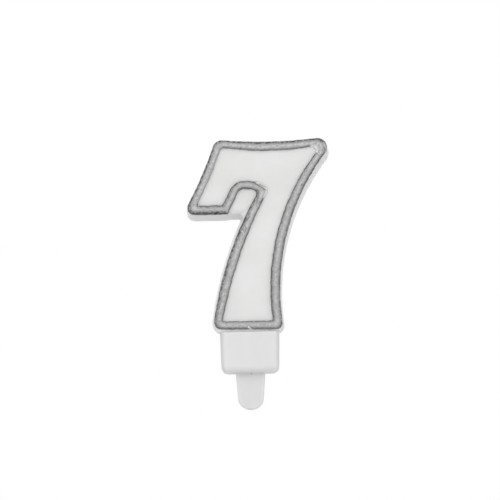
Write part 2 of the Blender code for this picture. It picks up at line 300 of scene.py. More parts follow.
@dataclass(frozen=True)
class WaxFinish(Finish):
    """White candle wax: softly mottled, satin, faintly dimpled where it cooled, with painted light along its
    foot.
    """

    name: str = "white_wax"
    colour: Colour = (0.83, 0.83, 0.825)
    cloud: Colour = (0.79, 0.79, 0.78)
    # Painted light: a near-white colour for the foot's lower margin, and the two height bands where it fades
    # in and out.
    painted_foot_light: Colour = (0.98, 0.98, 0.975)
    clouded: Band = (0.35, 0.70)
    painted_light_low: Band = (0.0106, 0.0109)
    painted_light_high: Band = (0.01155, 0.0113)
    roughness: float = 0.40
    dimple_depth: float = 0.00004
    refraction: float = 1.44
    glow: float = 0.75
    glow_tint: Colour = (1.0, 0.95, 0.90)
    glow_depth: float = 0.0028

    def look(self, g: Graph) -> Sockets:
        """Broad clouds in the colour, patches of gloss, shallow dimples and painted light along the foot.

        Args:
            g: The material's nodes.

        Returns:
            The sockets.
        """
        place = g.place()
        height = g.split(place)[2]
        clouds = g.noise(place, scale=110.0, detail=3.0)
        grain = g.noise(place, scale=1900.0, detail=2.0)
        dimples = g.noise(place, scale=420.0, detail=1.0)
        colour = g.mix(clouds.step(*self.clouded), self.colour, self.cloud)
        # Painted light: the foot's margin is made paler to lift the shade in the groove above the cup's rim.
        colour = g.mix(height.step(*self.painted_light_high) * height.step(*self.painted_light_low), colour, self.painted_foot_light)
        return {
            "Base Color": colour,
            "Roughness": self.roughness + 0.16 * (clouds - 0.5) + 0.10 * (grain - 0.5),
            "Normal": g.bump(dimples + 0.25 * grain, self.dimple_depth),
        }


@dataclass(frozen=True)
class SilverFinish(Finish):
    """Silver paint on the raised line: light on top, painted shade and painted dark reflections down both
    flanks, uneven, and worn in spots.

    Bands across the line run from 0 at its outer edge to 1 at its inner edge, or back from there.
    """

    name: str = "silver_paint"
    top: Colour = (0.44, 0.44, 0.44)
    worn_top: Colour = (0.27, 0.27, 0.27)
    # Painted shade and painted reflection: the light and deep darks that colour the flanks, in place of the
    # dark surroundings steep flanks would reflect.
    light_flank_shade: Colour = (0.30, 0.30, 0.30)
    deep_flank_shade: Colour = (0.06, 0.06, 0.06)
    scratched: Colour = (0.13, 0.13, 0.13)
    bare: Colour = (0.80, 0.80, 0.80)
    edge_tint: Colour = (0.70, 0.70, 0.70)
    # Where the painted shade on the outer and inner flanks starts and ends across the line.
    outer_flank: Band = (0.38, 0.20)
    inner_flank: Band = (0.33, 0.16)
    fade_flank: Band = (0.45, 0.30)
    fade_foot: Band = (0.25, 0.05)
    speckled: Band = (0.42, 0.58)
    worn: Band = (0.38, 0.84)
    smeared: Band = (0.40, 0.55)
    metallic: float = 0.85
    roughness: float = 0.38
    grain_depth: float = 0.00006
    scratches: tuple[Scratch, ...] = (
        Scratch(0.01516, 0.05110, 0.01500, 0.05085, 0.00018),
        Scratch(0.01174, 0.04480, 0.01160, 0.04470, 0.00015),
        Scratch(-0.00159, 0.06132, -0.00140, 0.06150, 0.00014),
        Scratch(0.00234, 0.05151, 0.00520, 0.04967, 0.00017),
        Scratch(0.00341, 0.05137, 0.00516, 0.05045, 0.00009),
        Scratch(0.00321, 0.04849, 0.00266, 0.04596, 0.00012),
        Scratch(0.00466, 0.04736, 0.00349, 0.04616, 0.00013),
        Scratch(-0.00033, 0.04120, 0.00073, 0.04232, 0.00015),
        Scratch(-0.00071, 0.04005, -0.00032, 0.03899, 0.00012),
        Scratch(-0.00032, 0.03899, -0.00090, 0.03800, 0.00011),
        Scratch(-0.00163, 0.03913, -0.00110, 0.03835, 0.00010),
    )
    smears: tuple[Scratch, ...] = (
        Scratch(-0.00030, 0.01200, 0.00080, 0.01120, 0.00020),
        Scratch(-0.00151, 0.03844, -0.00130, 0.03815, 0.00010),
    )
    fades: tuple[Scratch, ...] = (
        Scratch(0.01830, 0.06180, 0.01869, 0.06170, 0.00060),
        Scratch(0.01869, 0.06155, 0.01950, 0.06085, 0.00065),
        Scratch(0.01950, 0.06085, 0.01945, 0.06030, 0.00060),
        Scratch(0.02140, 0.06230, 0.02215, 0.06090, 0.00030),
        Scratch(0.02215, 0.06090, 0.02160, 0.05940, 0.00030),
        Scratch(0.00310, 0.05160, 0.00532, 0.05010, 0.00050),
        Scratch(0.00543, 0.05000, 0.00524, 0.04881, 0.00035),
        Scratch(0.00518, 0.04881, 0.00472, 0.04770, 0.00030),
    )

    def look(self, g: Graph) -> Sockets:
        """Painted shade and painted dark reflections on the edges by the share across the line, streaks along
        it, grain and wear.

        Args:
            g: The material's nodes.

        Returns:
            The sockets.
        """
        place = g.place()
        along, across, _ = g.split(g.node("UVMap", uv_map="line"))
        # Painted shade per side of the line, from the bead's attribute; a value below zero marks worn paint
        # instead.
        flank_shade_and_wear = g.node("Attribute", port="Fac", attribute_name="flank_shade_and_wear")
        ragged = g.noise(place, scale=750.0, detail=3.0, roughness=0.65)
        mottle = g.noise(place, scale=1500.0, detail=3.0, roughness=0.6)
        speck = g.noise(place, scale=2000.0, detail=1.0, roughness=0.6).step(*self.speckled)
        streaks = g.noise(g.join(along * 260.0, across * 7.0, 0.0), scale=1.0, detail=3.0, roughness=0.6)
        patches = g.noise(place, scale=190.0, detail=2.0)
        uneven = 0.18 * (ragged - 0.5) + 0.08 * (patches - 0.5) + 0.20 * (speck - 0.5) - 0.12 * (flank_shade_and_wear - 0.5)
        back = 1.0 - across
        # Painted shade: masks that darken the outer and inner flanks.
        outer = (across + uneven).step(*self.outer_flank)
        inner = (back + uneven).step(*self.inner_flank)
        painted_flank_shade = outer.most(0.85 * inner) * (0.45 + 0.55 * speck)
        foot = back.step(*self.fade_foot)
        faded = scratch_mask(g, place, self.fades).most(0.0 - flank_shade_and_wear) * across.least(back).step(*self.fade_flank)
        wear = (streaks * 0.35 + mottle * 0.35 + speck * 0.24 + patches * 0.2).step(*self.worn)
        top = g.mix(wear, self.top, self.worn_top)
        # Painted shade and painted reflection laid onto the flanks, darker where the per-side value is
        # higher.
        colour = g.mix(painted_flank_shade, top, g.mix(flank_shade_and_wear, self.light_flank_shade, self.deep_flank_shade))
        colour = g.mix(faded, colour, g.mix(foot, top, self.bare))
        colour = g.mix(0.85 * scratch_mask(g, place, self.scratches), colour, self.scratched)
        smear = scratch_mask(g, place, self.smears) * mottle.step(*self.smeared)
        return {
            "Base Color": g.mix(smear, colour, self.bare),
            "Metallic": self.metallic * (1.0 - smear.most(faded * foot)),
            "Roughness": self.roughness + 0.25 * (mottle - 0.5) + 0.12 * painted_flank_shade,
            "Normal": g.bump(0.6 * streaks + 0.5 * mottle, self.grain_depth),
            "Specular Tint": self.edge_tint,
        }


@dataclass(frozen=True)
class CottonFinish(Finish):
    """Waxed cotton yarn: pale strands with painted shade in the grooves between them and fine darker fibres
    along the twist.
    """

    name: str = "waxed_cotton"
    colour: Colour = (0.80, 0.77, 0.70)
    # The groove colour serves both as painted shade in the grooves and as the tone of the darker fibres.
    groove: Colour = (0.52, 0.47, 0.38)
    grooved: Band = (0.25, 0.95)
    fibrous: Band = (0.45, 0.75)
    roughness: float = 0.82
    fibre_depth: float = 0.00008
    sheen: float = 0.2

    def look(self, g: Graph) -> Sockets:
        """Painted shade in the grooves from the strand depth, and fibres stretched along each strand.

        Args:
            g: The material's nodes.

        Returns:
            The sockets.
        """
        turn, height, _ = g.split(g.node("UVMap", uv_map="strand"))
        depth = g.node("Attribute", port="Fac", attribute_name="groove")
        fibres = g.noise(g.join(turn * 60.0, height * 900.0, 0.0), scale=1.0, detail=3.0, roughness=0.6)
        # Painted shade: the colour darkens with the depth of the groove between strands.
        colour = g.mix(depth.step(*self.grooved), self.colour, self.groove)
        return {
            "Base Color": g.mix(0.45 * fibres.step(*self.fibrous), colour, self.groove),
            "Roughness": self.roughness + 0.2 * (fibres - 0.5),
            "Normal": g.bump(fibres, self.fibre_depth),
            "Sheen Weight": self.sheen,
        }


@dataclass(frozen=True)
class PlasticFinish(Finish):
    """White moulded plastic: satin, faintly clouded, with painted shade on the sides and in the tongue, and a
    gate.
    """

    name: str = "white_plastic"
    colour: Colour = (0.82, 0.82, 0.82)
    cloud: Colour = (0.80, 0.80, 0.80)
    # Painted shade: the darker colour laid on the side walls and, more faintly, down the tongue.
    painted_shade: Colour = (0.67, 0.67, 0.67)
    scuff: Colour = (0.72, 0.72, 0.72)
    gate: Colour = (0.42, 0.42, 0.42)
    clouded: Band = (0.35, 0.72)
    scuffed: Band = (0.66, 0.74)
    scuff_height: Band = (0.004, -0.002)
    # Painted shade bands: how far out the side walls darken, and the height below which the tongue does.
    side: Band = (0.0065, 0.0080)
    tongue: Band = (0.0003, -0.0006)
    gate_front: Band = (0.0, -0.0004)
    gate_mark: tuple[Scratch, ...] = (Scratch(0.00027, -0.00019, 0.00027, -0.00052, 0.00011),)
    roughness: float = 0.34
    grain_depth: float = 0.00002
    refraction: float = 1.35
    glow: float = 0.80
    glow_depth: float = 0.0014

    def look(self, g: Graph) -> Sockets:
        """Flow clouds drawn out along the height, short scuffs, a moulded grain, and painted shade on the
        sides and tongue.

        Args:
            g: The material's nodes.

        Returns:
            The sockets.
        """
        place = g.place()
        x, y, z = g.split(place)
        flow = g.noise(g.join(x * 260.0, y * 260.0, z * 90.0), scale=1.0, detail=2.0)
        grain = g.noise(place, scale=2600.0, detail=2.0)
        scratch = g.noise(g.join(x * 700.0, y * 700.0, z * 3200.0), scale=1.0, detail=2.0)
        scuffs = scratch.step(*self.scuffed) * z.step(*self.scuff_height)
        colour = g.mix(flow.step(*self.clouded), self.colour, self.cloud)
        colour = g.mix(0.35 * scuffs, colour, self.scuff)
        # Painted shade: the side walls and the tongue below the cup are coloured darker.
        colour = g.mix(abs(x).step(*self.side).most(0.32 * z.step(*self.tongue)), colour, self.painted_shade)
        mark = scratch_mask(g, place, self.gate_mark) * y.step(*self.gate_front)
        return {
            "Base Color": g.mix(0.75 * mark, colour, self.gate),
            "Roughness": self.roughness + 0.14 * (flow - 0.5) + 0.12 * (grain - 0.5) + 0.1 * scuffs,
            "Normal": g.bump(grain + 0.3 * scratch, self.grain_depth),
        }


@dataclass(frozen=True)
class FloorFinish(Finish):
    """Pale studio floor: faintly mottled paper from above, and clear from below for the low camera."""

    name: str = "studio_floor"
    colour: Colour = (0.93, 0.93, 0.93)
    fleck: Colour = (0.90, 0.90, 0.90)
    roughness: float = 0.7

    def look(self, g: Graph) -> Sockets:
        """Paper mottle."""
        colour = g.mix(g.noise(g.place(), scale=40.0, detail=3.0), self.colour, self.fleck)
        return {"Base Color": colour, "Roughness": self.roughness}

    def cover(self, g: Graph, shader: Wire) -> Wire:
        """The paper on the upper side and a clear lower side."""
        below = g.node("NewGeometry", port="Backfacing")
        return g.node("MixShader", {0: below, 1: shader, 2: g.node("BsdfTransparent")})


def add_object(name: str, data: bpy.types.ID) -> Object:
    """A new object in the scene, at the origin, from a mesh, lamp or camera."""
    bpy.context.scene.collection.objects.link(made := bpy.data.objects.new(name, data))
    return made


@dataclass
class Surface:
    """A grid of points over two parameters: rows of rings, each ring closed on itself.

    A hoop's last row joins its first; any other surface ends in a flat face on its first and last rows.
    """

    points: Array
    hoop: bool = False

    def object(
        self, name: str, uv: tuple[str, Array, Array] | None = None, mark: tuple[str, Array] | None = None
    ) -> Object:
        """Makes the object, smooth but for its end faces, with its faces turned outwards.

        Args:
            name: The object's name.
            uv: A UV map's name, its V on each row line and its U on each column line, seams included.
            mark: An attribute's name, and its value at each point.

        Returns:
            The object, at the origin.
        """
        rows, columns = self.points.shape[:2]
        row, column = np.divmod(np.arange((rows if self.hoop else rows - 1) * columns), columns)
        corner_rows = row[:, None] + np.array([0, 0, 1, 1])
        corner_columns = column[:, None] + np.array([0, 1, 1, 0])
        faces = ((corner_rows % rows) * columns + corner_columns % columns).tolist()
        if not self.hoop:
            faces += [list(range(columns)), list(range((rows - 1) * columns, rows * columns))]
        mesh = bpy.data.meshes.new(name)
        mesh.from_pydata(self.points.reshape(-1, 3).tolist(), [], faces)
        mesh.polygons.foreach_set("use_smooth", np.arange(len(faces)) < len(row))
        if uv:
            values = np.zeros((len(mesh.loops), 2))
            values[:corner_rows.size, 0] = uv[2][corner_columns.reshape(-1)]
            values[:corner_rows.size, 1] = uv[1][corner_rows.reshape(-1)]
            mesh.uv_layers.new(name=uv[0]).data.foreach_set("uv", values.reshape(-1))
        if mark:
            attribute = mesh.attributes.new(mark[0], "FLOAT", "POINT")
            attribute.data.foreach_set("value", mark[1].reshape(-1).astype(np.float32))
        shell = bmesh.new()
        shell.from_mesh(mesh)
        bmesh.ops.recalc_face_normals(shell, faces=shell.faces)
        shell.to_mesh(mesh)
        shell.free()
        return add_object(name, mesh)


def join_solids(obj: Object, other: Object, operation: str) -> None:
    """Adds a solid to a mesh or cuts it from it for good, and drops the solid.

    Args:
        obj: The mesh that is kept.
        other: The solid that is used up.
        operation: UNION or DIFFERENCE.
    """
    modifier = obj.modifiers.new(other.name, "BOOLEAN")
    modifier.operation = operation
    modifier.solver = "EXACT"
    modifier.object = other
    bpy.context.view_layer.update()
    result = bpy.data.meshes.new_from_object(obj.evaluated_get(bpy.context.evaluated_depsgraph_get()))
    obj.modifiers.clear()
    obj.data = result
    bpy.data.objects.remove(other, do_unlink=True)


def quarter(steps: int) -> list[tuple[float, float]]:
    """Sine and one minus cosine at each step of a quarter turn, for rounding an edge."""
    angle = np.linspace(0.0, math.pi / 2, steps + 1)
    return list(zip(np.sin(angle), 1.0 - np.cos(angle)))


def smooth_step(values: Array, low: float, high: float) -> Array:
    """0 below low, 1 above high and a cubic rise between."""
    share = np.clip((values - low) / (high - low), 0.0, 1.0)
    return share * share * (3.0 - 2.0 * share)


def ripple(shares: Array, waves: Waves) -> Array:
    """A closed wavy line: the sum of sines, each with its count round the loop, height and phase in turns."""
    count, height, phase = np.array(waves).T[:, :, None]
    return np.sum(height * np.sin(2.0 * math.pi * (count * shares + phase)), axis=0)


def arc(centre: Array, first: Array, last: Array, shares: Array) -> Array:
    """Points on a spiral arc: the angle and the radius both run evenly from first to last.

    Args:
        centre: The arc's centre.
        first: Where it starts.
        last: Where it ends.
        shares: The points' places along it, from 0 to 1.

    Returns:
        The points.
    """
    a = first - centre
    b = last - centre
    turn = math.atan2(a[0] * b[1] - a[1] * b[0], float(a @ b))
    cosine = np.cos(turn * shares)
    sine = np.sin(turn * shares)
    grow = 1.0 + (np.linalg.norm(b) / np.linalg.norm(a) - 1.0) * shares
    turned = np.stack([a[0] * cosine - a[1] * sine, a[0] * sine + a[1] * cosine], axis=1)
    return centre + turned * grow[:, None]


@dataclass(frozen=True)
class Edge:
    """One edge between two sharp corners, with the wax on its left hand; a positive bow swells outwards."""

    start: Array
    end: Array
    bow: float = 0.0

    def out(self) -> Array:
        """Unit vector that leaves the wax at the middle of the edge."""
        chord = self.end - self.start
        return np.array([chord[1], -chord[0]]) / np.linalg.norm(chord)

    def radius(self) -> float:
        """Radius of the bowed edge, negative where it is hollow and 0 where it is straight."""
        half = float(np.linalg.norm(self.end - self.start)) / 2.0
        return (half * half + self.bow * self.bow) / (2.0 * self.bow) if self.bow else 0.0

    def centre(self) -> Array:
        """Centre of the bowed edge's circle."""
        return (self.start + self.end) / 2.0 + self.out() * (self.bow - self.radius())

    def leaving(self, point: Array) -> Array:
        """Unit vector that leaves the wax at the place on this edge nearest to a point."""
        away = (point - self.centre()) * math.copysign(1.0, self.bow) if self.bow else self.out()
        return away / np.linalg.norm(away)

    def distance(self, point: Array) -> float:
        """How far a point lies outside this edge."""
        bowed = math.copysign(np.linalg.norm(point - self.centre()), self.bow) - self.radius()
        return bowed if self.bow else float((point - self.start) @ self.out())

    def walk(self, a: Array, b: Array, steps: int) -> Array:
        """Points from a to b in so many steps along this edge's own curve, without the two ends."""
        shares = np.linspace(0.0, 1.0, steps + 1)[1:-1]
        return arc(self.centre(), a, b, shares) if self.bow else a + np.outer(shares, b - a)

    def beside(self, at_start: float, at_end: float, swell: float = 0.0) -> "Edge":
        """A second edge that lies further in by so much at each end, and swells outwards by so much more."""
        out = self.out()
        return Edge(self.start - out * at_start, self.end - out * at_end, self.bow + swell)


@dataclass(frozen=True)
class Side:
    """One side of an outline: its outer and inner edge, their radii where they end, and its steps."""

    edges: tuple[Edge, Edge]
    radii: tuple[float, float]
    steps: int


def meet(one: Edge, one_out: float, two: Edge, two_out: float, near: Array) -> Array:
    """The point that lies so far outside each of two edges, by Newton steps.

    Args:
        one: The first edge.
        one_out: How far outside it.
        two: The second edge.
        two_out: How far outside that.
        near: Where the search starts.

    Returns:
        The point.
    """
    point = np.array(near, dtype=float)
    for _ in range(NEWTON_STEPS):
        slopes = np.stack([one.leaving(point), two.leaving(point)])
        short = np.array([one_out - one.distance(point), two_out - two.distance(point)])
        point = point + np.linalg.solve(slopes, short)
    return point


@dataclass(frozen=True)
class Outline:
    """A closed outline of sides with rounded corners, from the same count of points at any inset."""

    sides: tuple[Side, ...]
    corner_steps: int = 14
    least_radius: float = 0.0002

    def after(self, number: int) -> int:
        """The number of the side that follows a side."""
        return (number + 1) % len(self.sides)

    def corner(self, number: int, inset: float, inner: bool) -> tuple[Array, Array, Array]:
        """The round between a side and the next one.

        Args:
            number: The side whose end is rounded.
            inset: How far the outline is moved in from its outer edges, or out from its inner edges.
            inner: Whether the inner edges are meant.

        Returns:
            The round's centre, first point and last point.
        """
        side = self.sides[number]
        edge = side.edges[inner]
        after = self.sides[self.after(number)].edges[inner]
        one = edge.out()
        two = after.out()
        bulge = math.copysign(1.0, one[0] * two[1] - one[1] * two[0])
        out = inset if inner else -inset
        reach = bulge * max(side.radii[inner] + bulge * out, self.least_radius)
        sharp = meet(edge, 0.0, after, 0.0, edge.end)
        centre = meet(edge, out - reach, after, out - reach, sharp)
        return centre, centre + edge.leaving(centre) * reach, centre + after.leaving(centre) * reach

    def loop(self, inset: float = 0.0, inner: bool = False) -> Array:
        """The outline's points: for each side the round at its end, then the next side's own points.

        Args:
            inset: As for a corner.
            inner: As for a corner.

        Returns:
            X and Z of the points.
        """
        corners = [self.corner(number, inset, inner) for number in range(len(self.sides))]
        shares = np.linspace(0.0, 1.0, self.corner_steps + 1)
        parts = []
        for number, (centre, first, last) in enumerate(corners):
            side = self.sides[self.after(number)]
            parts.append(arc(centre, first, last, shares))
            parts.append(side.edges[inner].walk(last, corners[self.after(number)][1], side.steps))
        return np.concatenate(parts)

    def starts(self) -> Array:
        """Where each side's end round starts in a loop; the side after it follows the round."""
        counts = [self.corner_steps + self.sides[self.after(i)].steps for i in range(len(self.sides))]
        return np.concatenate([[0], np.cumsum(counts)])

    def blend(self, values: Sequence[float]) -> Array:
        """A value at each point of a loop: one along each side, blended round the corners.

        Args:
            values: The value along each side.

        Returns:
            The values.
        """
        parts = []
        for number, value in enumerate(values):
            after = self.after(number)
            parts.append(np.linspace(value, values[after], self.corner_steps + 1))
            parts.append(np.full(self.sides[after].steps - 1, values[after]))
        return np.concatenate(parts)


@dataclass(frozen=True)
class Figure:
    """The seven's sizes: the outer edge of the silver line between its sharp corners."""

    foot_z: float = 0.0113
    foot_tilt: float = 0.0003
    height: float = 0.0527
    top_width: float = 0.0349
    top_rise: float = 0.0009
    top_bow: float = 0.00125
    top_shift: float = 0.0017
    flag_height: float = 0.0208
    flag_width: float = 0.0125
    flag_lean: float = 0.0094
    flag_bow: float = 0.00055
    hook_lean: float = 0.00335
    notch_rise: float = 0.00695
    notch_drop: float = 0.00015
    notch_width: float = 0.00525
    cap_left: float = 0.0020
    cap_right: float = 0.0006
    cap_reach: float = 0.0021
    cap_bow: float = 0.0008
    stem_left_bow: float = 0.0021
    stem_right_bow: float = 0.00675
    stem_draw: Row = (-0.0001, 0.0004, 0.0002)
    foot_left: float = -0.0100
    foot_right: float = 0.0092
    foot_margin: float = 0.0003
    draft: float = 0.0003
    web_corner: float = 0.0009
    web_side: int = 4

    def flag_z(self) -> float:
        """Height of the flag's lower edge."""
        return self.foot_z + self.height - self.flag_height

    def hook_x(self) -> float:
        """Place of the flag's lower right corner, where the hook starts."""
        return self.foot_left + self.top_shift - self.flag_lean + self.flag_width

    def edges(self) -> tuple[Edge, ...]:
        """The line's outer edges between their sharp corners.

        Returns:
            The foot, the stem's right edge, the same drawn in towards the top corner, the top, the flag's
            left and bottom, the hook, the crown, the cap that is the inner edge over it, the stem's left.
        """
        top_z = self.foot_z + self.height
        left = self.foot_left + self.top_shift
        notch = self.hook_x() + self.hook_lean
        far = notch + self.notch_width
        notch_z = self.flag_z() + self.notch_rise
        far_z = notch_z - self.notch_drop
        foot_left, foot_right, top_right, top_left, flag_tip, hook_tip = np.array([
            (self.foot_left, self.foot_z + self.foot_tilt),
            (self.foot_right, self.foot_z),
            (left + self.top_width, top_z + self.top_rise),
            (left, top_z),
            (left - self.flag_lean, self.flag_z()),
            (self.hook_x(), self.flag_z()),
        ])
        notch_left, notch_right, cap_left, cap_right = np.array([
            (notch, notch_z),
            (far, far_z),
            (notch, notch_z + self.cap_left),
            (far + self.cap_reach, far_z + self.cap_right),
        ])
        stem_right = Edge(foot_right, top_right, -self.stem_right_bow)
        return (
            Edge(foot_left, foot_right),
            stem_right,
            stem_right.beside(*self.stem_draw),
            Edge(top_right, top_left, -self.top_bow),
            Edge(top_left, flag_tip, -self.flag_bow),
            Edge(flag_tip, hook_tip),
            Edge(hook_tip, notch_left),
            Edge(notch_left, notch_right),
            Edge(cap_left, cap_right, -self.cap_bow),
            Edge(notch_right, foot_left, self.stem_left_bow),
        )

    def line(self) -> Outline:
        """The outline of the silver line, which goes round the notch.

        Returns:
            The outline, whose inner edges are the line's inner edges.
        """
        foot, right, front, top, flag, bottom, hook, crown, cap, stem = self.edges()
        outer_hook = hook.beside(0.00012, 0.00012)
        outer_stem = stem.beside(0.00011, 0.00011)
        return Outline((
            Side((foot, foot.beside(0.0021, 0.0024)), radii=(0.0017, 0.0005), steps=60),
            Side((front, right.beside(0.0027, 0.0024)), radii=(0.0026, 0.0012), steps=150),
            Side((top, top.beside(0.0014, 0.0019, -0.00085)), radii=(0.0026, 0.0012), steps=110),
            Side((flag, flag.beside(0.0022, 0.0022)), radii=(0.0020, 0.0004), steps=70),
            Side((bottom, bottom.beside(0.00256, 0.00256)), radii=(0.0004, 0.0005), steps=44),
            Side((outer_hook, hook.beside(0.0024, 0.0024)), radii=(0.0019, 0.0042), steps=22),
            Side((crown, cap), radii=(0.0013, 0.0016), steps=12),
            Side((outer_stem, stem.beside(0.0023, 0.0023, -0.0005)), radii=(0.0020, 0.0005), steps=120),
        ))

    def body(self) -> Outline:
        """The outline of the wax, whose web fills the notch.

        Returns:
            The outline. Its outer edges are the front of the wall, and its inner edges the back of the
            wall, which stands further out by the wall's draft.
        """
        _, right, front, top, flag, web, _, _, _, stem = self.edges()
        low = self.foot_z - self.foot_margin
        foot = Edge(np.array([self.foot_left, low]), np.array([self.foot_right, low]))
        return Outline((
            Side((foot, foot), radii=(0.0017, 0.0025), steps=50),
            Side((front, right.beside(-0.0008, -0.0004, -0.0001)), radii=(0.0026, 0.0030), steps=120),
            Side((top, top.beside(-self.draft, -self.draft)), radii=(0.0026, 0.0029), steps=90),
            Side((flag, flag.beside(-self.draft, -self.draft)), radii=(0.0020, 0.0023), steps=60),
            Side((web, web.beside(-self.draft, -self.draft)), radii=(self.web_corner, 0.0003), steps=120),
            Side((stem, stem.beside(-0.00125, -0.0005)), radii=(0.0020, 0.0034), steps=110),
        ))


def rounded_ring(half_x: float, half_y: float, radius: float, z: float, steps: Steps) -> Array:
    """A level ring of four quarter rounds joined by straight runs, with the same count for any size.

    Args:
        half_x: Half the width.
        half_y: Half the depth.
        radius: The corners' radius, kept below both halves.
        z: The ring's height.
        steps: Steps round each corner, along the front and back, and along the sides.

    Returns:
        The points, from the front left corner round by the right.
    """
    r = min(radius, LARGEST_ROUND * half_x, LARGEST_ROUND * half_y)
    angle = np.linspace(0.0, math.pi / 2, steps[0] + 1)
    rounds = []
    for number, (sx, sy) in enumerate(((-1, -1), (1, -1), (1, 1), (-1, 1))):
        turn = angle + (number - 2) * math.pi / 2
        x = sx * (half_x - r) + r * np.cos(turn)
        rounds.append(np.column_stack([x, sy * (half_y - r) + r * np.sin(turn)]))
    parts = []
    for number, corner in enumerate(rounds):
        shares = np.linspace(0.0, 1.0, steps[1 + number % 2] + 1)[1:-1, None]
        parts += [corner, corner[-1] + (rounds[(number + 1) % 4][0] - corner[-1]) * shares]
    return np.insert(np.concatenate(parts), 2, z, axis=1)


def inset_rings(half_x: float, half_y: float, rows: Sequence[Row], steps: Steps) -> list[Array]:
    """Level rings, each moved in from one rectangle: rows of inset, corner radius and height."""
    return [rounded_ring(half_x - inset, half_y - inset, corner, z, steps) for inset, corner, z in rows]


@dataclass
class Piece:
    """A piece of the candle, tied to the frame by its body and the node it stands for, and labelled with its
    slot.
    """

    body: ClassVar[Body]
    node: ClassVar[Node]
    slot: ClassVar[Slot]
    finish: Finish

    def build(self) -> Object:
        """The finished piece in its place."""
        raise NotImplementedError

    def dress(self, piece: Object) -> None:
        """Gives the piece its finish and ties it to the frame.

        Args:
            piece: The piece as it was built.
        """
        piece.data.materials.clear()
        piece.data.materials.append(self.finish.make())
        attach(piece, self.body.value)
        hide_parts(self.node.value)


